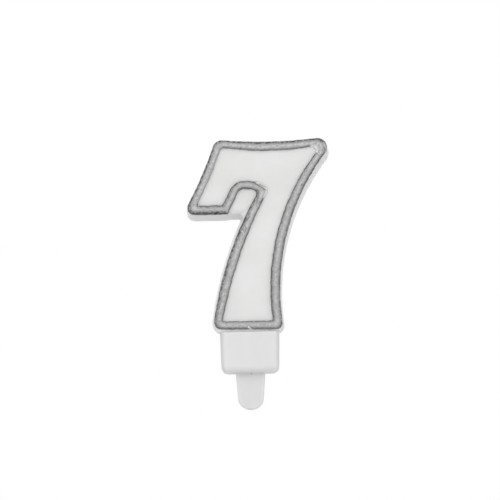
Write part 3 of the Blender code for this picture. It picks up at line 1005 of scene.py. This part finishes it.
@dataclass
class WaxNumeral(Piece):
    """The cast figure: drafted walls, a rounded web under the flag, a tenon below the foot, a wick bore."""

    body = Body.NUMERAL
    node = Node.WAX
    slot = Slot.WAX
    finish: Finish = WaxFinish()
    figure: Figure = Figure()
    front: float = -0.0045
    back: float = 0.0045
    margin: float = 0.0001
    front_round: float = 0.00015
    front_steps: int = 10
    wall_steps: int = 8
    back_round: float = 0.0005
    back_steps: int = 6
    web_round: float = 0.0020
    web_depth: float = 0.0012
    web_start: Band = (-0.0001, 0.0004)
    web_lift: float = 0.0002
    lift_start: Band = (-0.0012, 0.0008)
    tenon_width: float = 0.0134
    tenon_depth: float = 0.0068
    tenon_corner: float = 0.0008
    tenon_low: float = 0.0019
    tenon_taper: float = 0.00015
    tenon_round: float = 0.0004
    tenon_round_steps: int = 5
    tenon_overlap: float = 0.0008
    tenon_steps: Steps = (8, 12, 8)
    bore_x: float = 0.0030
    bore_radius: float = 0.00063
    bore_past: float = 0.003
    bore_steps: int = 32
    sharp_angle: float = 38.0

    def web(self) -> tuple[slice, slice]:
        """Where the web's points, and the round at its end, stand in the outline.

        Returns:
            The two slices.
        """
        body = self.figure.body()
        before, here = body.starts()[self.figure.web_side - 1:self.figure.web_side + 1]
        count = body.corner_steps + 1
        return slice(before + count, here), slice(here, here + count)

    def outline(self, inset: float, back: bool) -> Array:
        """The wax's outline, with the web a little higher from the hook to the stem.

        Args:
            inset: How far it is moved in at the front, or out at the back.
            back: Whether the back of the wall is meant.

        Returns:
            X and Z of the points.
        """
        flat = self.figure.body().loop(inset, back)
        web, corner = self.web()
        flat[web, 1] += self.web_lift * smooth_step(flat[web, 0] - self.figure.hook_x(), *self.lift_start)
        flat[corner, 1] += self.web_lift * np.linspace(1.0, 0.0, corner.stop - corner.start)
        return flat

    def rim(self) -> tuple[Array, Array]:
        """The edge of the flat face and how deep the round behind it is, at each point of the outline.

        The edge is the outline moved in by the front round. Along the web it lies higher by the web's
        round, leaning with the hook, and at the stem it comes back down along the stem's own edge.

        Returns:
            The edge's X and Z, and the depth of the round.
        """
        body = self.figure.body()
        inset = self.front_round - self.margin
        edge = body.loop(inset)
        depth = np.full(len(edge), self.front_round)
        web, corner = self.web()
        rise = self.web_round * smooth_step(edge[web, 0] - self.figure.hook_x(), *self.web_start)
        depth[web] += rise * self.web_depth / self.web_round
        edge[web] += np.stack([rise * self.figure.hook_lean / self.figure.notch_rise, rise], axis=1)
        shares = np.linspace(0.0, 1.0, corner.stop - corner.start)
        stem = body.sides[-1].edges[0]
        last = edge[corner.stop - 1].copy()
        above = np.array([last[0], self.figure.flag_z() + self.web_round])
        level = Edge(above, above + np.array([1.0, 0.0]))
        edge[corner] = arc(stem.centre(), meet(stem, -inset, level, 0.0, above), last, shares)
        depth[corner] += self.web_depth * (1.0 - shares) ** 3
        return edge, depth

    def skin(self) -> Surface:
        """The body as rings from the face to the back.

        Each ring is an outline at one depth: a quarter ellipse from the face's edge to the wall, the wall
        widening evenly with depth, and a quarter circle onto the back.

        Returns:
            The surface.
        """
        wall_front = self.outline(-self.margin, False)
        draft = self.outline(self.margin, True) - wall_front
        edge, depth = self.rim()
        thick = self.back - self.front
        at_round = wall_front + draft * (depth / thick)[:, None]
        rings = []
        for s, r in quarter(self.front_steps)[::-1]:
            rings.append((at_round + (edge - at_round) * r, depth * (1.0 - s)))
        for share in np.linspace(0.0, 1.0, self.wall_steps + 1)[1:]:
            y = depth + (thick - self.back_round - depth) * share
            rings.append((wall_front + draft * (y / thick)[:, None], y))
        for s, r in quarter(self.back_steps)[1:]:
            y = np.full(len(depth), thick - self.back_round * (1.0 - s))
            rings.append((self.outline(self.margin - self.back_round * r, True), y))
        return Surface(np.stack([np.insert(flat, 1, self.front + y, axis=1) for flat, y in rings]))

    def tenon(self) -> Surface:
        """The foot's tenon: rounded rectangles tapering down to a rounded lower end.

        Returns:
            The surface.
        """
        corner = self.tenon_corner
        rows = []
        for s, r in quarter(self.tenon_round_steps):
            inset = self.tenon_taper + self.tenon_round * (1.0 - s)
            rows.append((inset, corner, self.tenon_low + self.tenon_round * r))
        rows.append((0.0, corner, self.figure.foot_z + self.tenon_overlap))
        rings = inset_rings(self.tenon_width / 2, self.tenon_depth / 2, rows, self.tenon_steps)
        return Surface(np.stack(rings))

    def bore(self) -> Surface:
        """The wick's bore: two rings of a plain tube, from below the tenon to above the top edge.

        Returns:
            The surface.
        """
        turn = np.linspace(0.0, 2.0 * math.pi, self.bore_steps + 1)[:-1]
        x = self.bore_x + self.bore_radius * np.cos(turn)
        ring = np.column_stack([x, self.bore_radius * np.sin(turn), np.zeros(len(turn))])
        top = self.figure.foot_z + self.figure.height + self.bore_past
        return Surface(np.stack([ring, ring + np.array([0.0, 0.0, top])]))

    def build(self) -> Object:
        """The skin with its tenon joined on and its bore cut out.

        Returns:
            The piece.
        """
        wax = self.skin().object("numeral_wax")
        tenon = self.tenon().object("numeral_tenon")
        bore = self.bore().object("numeral_bore")
        join_solids(wax, tenon, "UNION")
        join_solids(wax, bore, "DIFFERENCE")
        wax.data.set_sharp_from_angle(angle=math.radians(self.sharp_angle))
        return wax


@dataclass
class SilverOutline(Piece):
    """The painted line: a flat-topped bead with rounded, slightly ragged shoulders.

    The shade values say how dark each side of the line is painted on its outer and inner edge, as painted
    shade and painted dark reflections, from the foot round by the right; below zero on the inner edge they
    mark worn paint.
    """

    body = Body.NUMERAL
    node = Node.SILVER
    slot = Slot.SILVER
    finish: Finish = SilverFinish()
    figure: Figure = Figure()
    face: float = -0.0045
    height: float = 0.00064
    crown: float = 0.00002
    slope: float = 0.00055
    sunk: float = 0.00005
    across_steps: int = 26
    outer_waves: Waves = (
        (23, 0.000030, 0.10), (57, 0.000028, 0.43), (97, 0.000026, 0.77), (151, 0.000018, 0.21),
    )
    inner_waves: Waves = (
        (19, 0.000035, 0.62), (47, 0.000034, 0.05), (89, 0.000032, 0.36), (139, 0.000022, 0.90),
    )
    top_waves: Waves = ((31, 0.000010, 0.30), (73, 0.000009, 0.58), (113, 0.000007, 0.14))
    # Painted shade: how dark each side's outer and inner edges are coloured, standing in for shade and dark
    # reflections; below zero marks worn paint.
    outer_flank_shade: tuple[float, ...] = (0.38, 0.60, 1.00, 0.95, 1.30, 0.16, 0.60, 0.95)
    inner_shade_and_wear: tuple[float, ...] = (0.73, 0.90, 0.05, -0.30, 1.05, 1.60, 1.00, 0.35)

    def build(self) -> Object:
        """The bead, as a hoop of strips along the line.

        A point lies at a share of the way from the line's outer edge to its inner edge, both made a
        little wavy. Its height is a quarter ellipse over each shoulder's slope and a faint crown between.
        The underside is flat and a little inside the wax.

        Returns:
            The piece.
        """
        line = self.figure.line()
        outer = line.loop()
        inner = line.loop(0.0, True)
        middle = (outer + inner) / 2.0
        lengths = np.linalg.norm(np.roll(middle, -1, axis=0) - middle, axis=1)
        run = np.concatenate([[0.0], np.cumsum(lengths)])
        places = run[:-1] / run[-1]
        width = np.linalg.norm(inner - outer, axis=1)
        unit = (inner - outer) / width[:, None]
        outer = outer + unit * ripple(places, self.outer_waves)[:, None]
        inner = inner + unit * ripple(places, self.inner_waves)[:, None]
        # Halfway between even and cosine steps, so that the shoulders get more rows than the top.
        even = np.linspace(0.0, 1.0, self.across_steps)
        shares = 0.5 * (1.0 - np.cos(math.pi * even)) / 2.0 + 0.5 * even
        flat = outer + (inner - outer) * shares[:, None, None]
        from_edge = np.minimum(shares, 1.0 - shares)[:, None] * width
        shoulder = np.sqrt(1.0 - (1.0 - np.clip(from_edge / self.slope, 0.0, 1.0)) ** 2)
        crown = self.crown * (1.0 - (2.0 * shares[:, None] - 1.0) ** 2)
        up = shoulder * (self.height + crown + ripple(places, self.top_waves))
        over = np.insert(flat, 1, self.face - up, axis=2)
        base = np.insert(flat[[-1, 0]], 1, self.face + self.sunk, axis=2)
        rows = np.concatenate([shares, [1.0, 0.0, 0.0]])
        # Painted shade and wear at each point: the outer table on the outer half of the line, the inner table
        # on the inner half.
        flank_shade_and_wear = np.where(rows[:-1, None] < 0.5, line.blend(self.outer_flank_shade), line.blend(self.inner_shade_and_wear))
        surface = Surface(np.concatenate([over, base]), hoop=True)
        return surface.object("silver_line", ("line", rows, run), ("flank_shade_and_wear", flank_shade_and_wear))


@dataclass
class Wick(Piece):
    """The cotton wick: three strands twisted round each other, trimmed just above the top edge."""

    body = Body.NUMERAL
    node = Node.WICK
    slot = Slot.COTTON
    finish: Finish = CottonFinish()
    x: float = 0.0030
    radius: float = 0.0006
    low: float = 0.0019
    pitch: float = 0.0034
    groove: float = 0.20
    end_round: float = 0.00025
    end_share: float = 0.03
    strands: int = 3
    turn_steps: int = 60
    rows: int = 420

    def build(self) -> Object:
        """The cord as rings from its lower to its upper end.

        At each height the radius falls into a groove between strands, by how far the turn angle less the
        twist is from the middle of a strand. The two ends close over a quarter ellipse.

        Returns:
            The piece.
        """
        high = float(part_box(Node.WICK.value)[1].z)
        turn = np.linspace(0.0, 2.0 * math.pi, self.turn_steps + 1)
        z = np.linspace(self.low, high, self.rows)
        phase = turn[None, :-1] - 2.0 * math.pi * z[:, None] / self.pitch
        dip = 1.0 - np.abs(np.cos(phase * self.strands / 2.0))
        end = np.minimum(z - self.low, high - z) / self.end_round
        close = np.sqrt(1.0 - (1.0 - np.clip(end, self.end_share, 1.0)) ** 2)
        radius = self.radius * (1.0 - self.groove * dip) * close[:, None]
        x = self.x + radius * np.cos(turn[:-1])
        y = radius * np.sin(turn[:-1])
        surface = Surface(np.stack([x, y, np.broadcast_to(z[:, None], x.shape)], axis=-1))
        return surface.object("wick_cord", ("strand", z, turn), ("groove", dip))


@dataclass
class PickHolder(Piece):
    """The moulded holder: a rounded cup with a socket, and a thin tongue with a round tip below it."""

    body = Body.HOLDER
    node = Node.HOLDER
    slot = Slot.PLASTIC
    finish: Finish = PlasticFinish()
    half_width: float = 0.0081
    half_depth: float = 0.0048
    corner: float = 0.0015
    height: float = 0.0106
    rim_lift: float = 0.00027
    wall: float = 0.0011
    floor: float = 0.0016
    taper: float = 0.0002
    bottom_round: float = 0.0019
    bottom_share: float = 0.6
    bottom_corner: float = 0.0004
    bottom_steps: int = 12
    wall_steps: int = 6
    rim_round: float = 0.0003
    rim_steps: int = 5
    lip_round: float = 0.00015
    socket_round: float = 0.0004
    socket_taper: float = 0.00015
    socket_corner: float = 0.0011
    tongue_length: float = 0.0101
    tongue_root: float = 0.0081
    tongue_tip: float = 0.0070
    tongue_rows: int = 60
    tip_bow: float = 0.0024
    tip_blend: float = 0.00035
    tip_flat: float = 0.000004
    root_thick: float = 0.0020
    tip_thick: float = 0.0014
    edge_share: float = 0.8
    root_fillet: float = 0.0004
    sharp_angle: float = 50.0
    steps: Steps = (10, 64, 16)

    def cup_rings(self) -> list[Array]:
        """Rings up the socket from its floor, over the rim, down the outside and under the bottom round.

        Each is the cup's outer rectangle moved in by so much, with its own corner radius and height.

        Returns:
            The rings.
        """
        top = self.height + self.rim_lift
        high = top - self.rim_round
        low = self.bottom_round
        small = quarter(self.rim_steps)
        socket = self.wall + self.socket_taper
        rows = [
            (socket + self.socket_round * (1.0 - s), self.socket_corner, self.floor + self.socket_round * r)
            for s, r in small
        ]
        rows += [
            (self.wall - self.lip_round * r, self.socket_corner, top - self.lip_round * (1.0 - s))
            for s, r in small
        ]
        rows += [(self.rim_round * r, self.corner, top - self.rim_round * (1.0 - s)) for s, r in small[::-1]]
        for share in np.linspace(0.0, 1.0, self.wall_steps + 1)[1:]:
            rows.append((self.taper * share, self.corner, high + (low - high) * share))
        for s, r in quarter(self.bottom_steps)[1:]:
            corner = max(self.corner - self.bottom_share * low * r, self.bottom_corner)
            rows.append((self.taper + low * r, corner, low * (1.0 - s)))
        return inset_rings(self.half_width, self.half_depth, rows, self.steps)

    def tongue_rings(self) -> list[Array]:
        """Rings down the tongue from a small fillet at its root to its round tip.

        The half width runs straight from root to tip, then follows the tip's arc, blended over the corner.
        The thickness falls evenly, and closes over a quarter ellipse at the very tip.

        Returns:
            The rings.
        """
        half_root = self.tongue_root / 2.0
        half_tip = self.tongue_tip / 2.0
        arc_radius = (half_tip ** 2 + self.tip_bow ** 2) / (2.0 * self.tip_bow)
        arc_top = self.tongue_length - arc_radius
        share = np.linspace(0.0, 1.0, self.tongue_rows)
        depth = (self.tongue_length - self.tip_flat) * (1.0 - (1.0 - share) ** 2)
        side = half_root + (half_tip - half_root) * depth / (self.tongue_length - self.tip_bow)
        tip = np.sqrt(np.clip(arc_radius ** 2 - np.clip(depth - arc_top, 0.0, None) ** 2, 0.0, None))
        tip = np.where(depth < arc_top, np.inf, tip)
        gap = np.clip(self.tip_blend - np.abs(side - tip), 0.0, None) / self.tip_blend
        half_x = np.minimum(side, tip) - gap ** 2 * self.tip_blend / 4.0
        half_y = (self.root_thick + (self.tip_thick - self.root_thick) * depth / self.tongue_length) / 2.0
        edge = self.edge_share * half_y
        left = np.clip((self.tongue_length - depth) / edge, 0.0, 1.0)
        half_y = half_y - edge + edge * np.sqrt(1.0 - (1.0 - left) ** 2)
        reach = np.clip(1.0 - depth / self.root_fillet, 0.0, 1.0)
        flare = self.root_fillet * (1.0 - np.sqrt(1.0 - reach ** 2))
        return [
            rounded_ring(x + f, y + f, self.edge_share * y + f, -d, self.steps)
            for x, y, f, d in zip(half_x, half_y, flare, depth)
        ]

    def build(self) -> Object:
        """The moulding, as one skin from the socket's floor to the tongue's tip.

        Returns:
            The piece.
        """
        holder = Surface(np.stack(self.cup_rings() + self.tongue_rings())).object("holder_moulding")
        holder.data.set_sharp_from_angle(angle=math.radians(self.sharp_angle))
        return holder


@dataclass(frozen=True)
class Softbox:
    """One square area lamp that faces the candle."""

    name: str
    place: tuple[float, float, float]
    size: float
    power: float

    def build(self, aim: Vector) -> None:
        """Makes the lamp.

        Args:
            aim: Where it is turned to.
        """
        lamp = bpy.data.lights.new(self.name, "AREA")
        lamp.shape = "SQUARE"
        lamp.size = self.size
        lamp.energy = self.power
        made = add_object(self.name, lamp)
        made.location = self.place
        made.rotation_mode = "QUATERNION"
        made.rotation_quaternion = (aim - made.location).to_track_quat("-Z", "Y")


@dataclass
class Studio:
    """Pale floor just under the tongue's tip, white surroundings and two soft lamps."""

    finish: Finish = FloorFinish()
    floor_size: float = 4.0
    floor_z: float = -0.0104
    white: Colour = (1.0, 1.0, 1.0)
    ambient: float = 0.70
    aim: tuple[float, float, float] = (0.002, 0.0, 0.032)
    lamps: tuple[Softbox, ...] = (
        Softbox("key_softbox", (-0.35, -1.15, 0.62), size=1.0, power=4.05),
        Softbox("fill_softbox", (0.75, -0.95, 0.35), size=0.8, power=1.4),
    )

    def floor(self) -> None:
        """A flat square sheet that looks up."""
        half = self.floor_size / 2
        points = [(x * half, y * half, self.floor_z) for x, y in ((-1, -1), (1, -1), (1, 1), (-1, 1))]
        mesh = bpy.data.meshes.new("studio_floor")
        mesh.from_pydata(points, [], [range(4)])
        mesh.materials.append(self.finish.make())
        made = add_object("studio_floor", mesh)

    def world(self) -> None:
        """White to the camera and in reflections, and a plain level of light on the candle."""
        scene = bpy.context.scene
        scene.world = bpy.data.worlds.new("studio_world")
        scene.world.use_nodes = True
        g = Graph(scene.world.node_tree)
        white = g.node("Background", {"Color": self.white, "Strength": 1.0})
        light = g.node("Background", {"Color": self.white, "Strength": self.ambient})
        rays = g.node("LightPath", port="Is Camera Ray")
        seen = rays.most(rays.port("Is Glossy Ray")).most(rays.port("Is Transmission Ray"))
        g.node("OutputWorld", {"Surface": g.node("MixShader", {0: seen, 1: light, 2: white})})

    def build(self) -> None:
        """The whole studio."""
        self.floor()
        self.world()
        for lamp in self.lamps:
            lamp.build(Vector(self.aim))


@dataclass
class PhotoCamera:
    """The camera at the photograph's angle: from a little below, with the candle turned slightly."""

    target: tuple[float, float, float] = (0.000566, 0.0, 0.033919)
    distance: float = 0.9
    elevation: float = -8.5
    roll: float = 1.2
    frame_width: float = 0.13715
    sensor: float = 36.0
    near: float = 0.01

    def build(self) -> None:
        """Makes the camera and gives it to the scene.

        Its axes are the level right-hand direction and the one above it, both turned by the roll, and the
        direction back from the target.
        """
        angle = math.radians(self.elevation)
        roll = math.radians(self.roll)
        back = Vector((0.0, -math.cos(angle), math.sin(angle)))
        right = Vector((1.0, 0.0, 0.0))
        up = back.cross(right)
        x = right * math.cos(roll) - up * math.sin(roll)
        y = right * math.sin(roll) + up * math.cos(roll)
        lens = bpy.data.cameras.new("photo_camera")
        lens.sensor_fit = "HORIZONTAL"
        lens.sensor_width = self.sensor
        lens.lens = self.sensor * self.distance / self.frame_width
        lens.clip_start = self.near
        made = add_object("photo_camera", lens)
        turn = Matrix((x, y, back)).transposed().to_4x4()
        made.matrix_world = Matrix.Translation(Vector(self.target) + back * self.distance) @ turn
        bpy.context.scene.camera = made


def main() -> None:
    """Sets up the studio and the camera, then builds and dresses each piece and reports it."""
    logging.basicConfig(level=logging.INFO, format="%(name)s: %(message)s")
    bpy.context.scene.view_settings.view_transform = "Standard"
    PhotoCamera().build()
    Studio().build()
    for maker in (WaxNumeral(), SilverOutline(), Wick(), PickHolder()):
        piece = maker.build()
        maker.dress(piece)
        log.info("%s: %d points, %d faces", piece.name, len(piece.data.vertices), len(piece.data.polygons))


if __name__ == "__main__":
    main()
